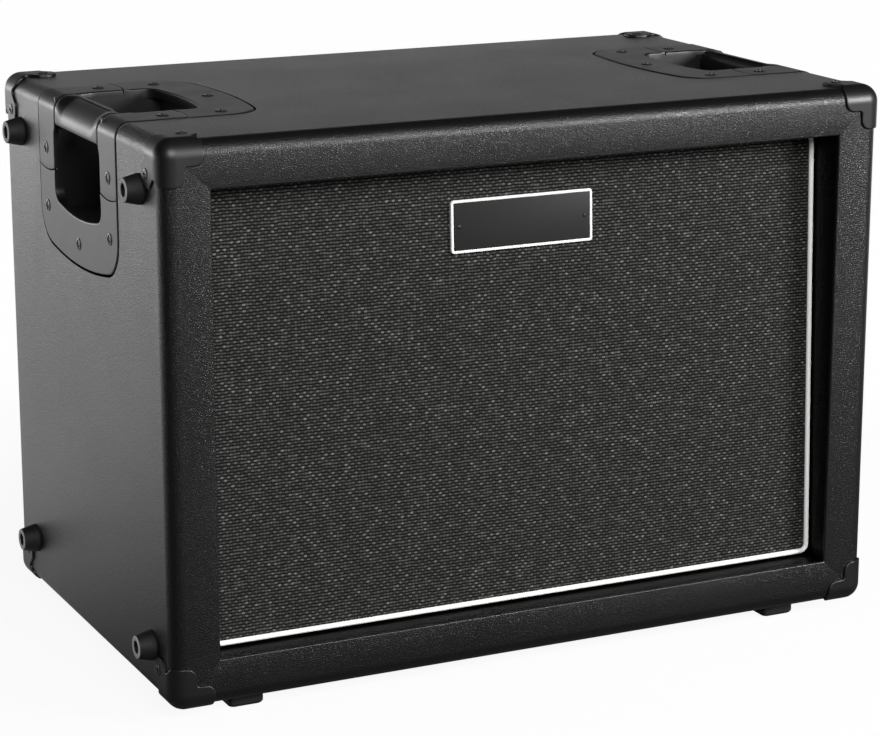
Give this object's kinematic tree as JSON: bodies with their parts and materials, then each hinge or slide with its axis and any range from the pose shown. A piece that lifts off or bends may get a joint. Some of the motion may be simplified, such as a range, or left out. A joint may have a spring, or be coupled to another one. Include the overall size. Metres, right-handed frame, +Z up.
{
  "type": "guitar speaker cabinet",
  "caption": "Closed-back guitar speaker cabinet with a leaning cloth grille, round driver behind it, corner protectors, recessed corner-edge handles, rubber feet and side bumpers.",
  "frame": {"origin": "bottom centre of the overall box, on the surface under the rubber feet", "axes": "+X to the right as seen from the front, -Y out of the grille, +Z up"},
  "size_m": [0.5642, 0.3414, 0.4011],
  "materials": {
    "vinyl": "plywood under black grained vinyl covering",
    "birch_ply": "bare plywood",
    "grille_cloth": "coarse black grille cloth with pale flecks",
    "white_piping": "white vinyl piping",
    "black_plastic": "satin moulded black plastic",
    "rubber": "black rubber",
    "badge": "dark bare plate with a pale rim",
    "black_steel": "black painted steel",
    "zinc_steel": "zinc plated steel",
    "cone_paper": "black paper and doped cloth",
    "gasket_cork": "tan fibre",
    "ferrite": "dark grey sintered ferrite",
    "coil_copper": "enamelled copper winding"
  },
  "bodies": {
    "cabinet": {"top_panel": "vinyl", "bottom_panel": "vinyl", "left_panel": "vinyl", "right_panel": "vinyl", "front_rail_top": "vinyl", "front_rail_bottom": "vinyl", "front_stile_left": "vinyl", "front_stile_right": "vinyl", "back_panel": "vinyl", "rear_cleat_top": "birch_ply", "rear_cleat_bottom": "birch_ply", "rear_cleat_left": "birch_ply", "rear_cleat_right": "birch_ply", "jack_plate": "black_steel", "jack_socket_1": "black_plastic", "jack_socket_2": "black_plastic", "baffle": "birch_ply", "grille_frame": "birch_ply", "grille_cloth": "grille_cloth", "grille_piping": "white_piping", "badge_plate": "badge", "basket": "black_steel", "basket_gasket": "gasket_cork", "front_plate": "zinc_steel", "magnet": "ferrite", "back_plate": "zinc_steel", "surround": "cone_paper", "spider": "gasket_cork", "terminal_block": "black_plastic", "driver_bolt_1": "black_steel", "driver_bolt_2": "black_steel", "driver_bolt_3": "black_steel", "driver_bolt_4": "black_steel", "handle_shell_left": "black_plastic", "handle_shell_right": "black_plastic", "handle_grip_left": "black_plastic", "handle_grip_right": "black_plastic", "protector_left_front_top": "black_plastic", "protector_left_front_bottom": "black_plastic", "protector_left_rear_top": "black_plastic", "protector_left_rear_bottom": "black_plastic", "protector_right_front_top": "black_plastic", "protector_right_front_bottom": "black_plastic", "protector_right_rear_top": "black_plastic", "protector_right_rear_bottom": "black_plastic", "bumper_front_top": "rubber", "bumper_front_bottom": "rubber", "bumper_rear_top": "rubber", "bumper_rear_bottom": "rubber", "foot_front_left": "rubber", "foot_front_right": "rubber", "foot_rear_left": "rubber", "foot_rear_right": "rubber"},
    "driver_cone": {"cone": "cone_paper", "dust_cap": "cone_paper", "voice_coil": "coil_copper"}
  },
  "joints": [
    {"name": "cone_travel", "type": "slide", "parent": "cabinet", "child": "driver_cone", "axis": [0, -0.9994, 0.0349], "range_m": [-0.003, 0.003], "stiffness_N_per_m": 8000, "deforming": ["surround", "spider"]}
  ]
}
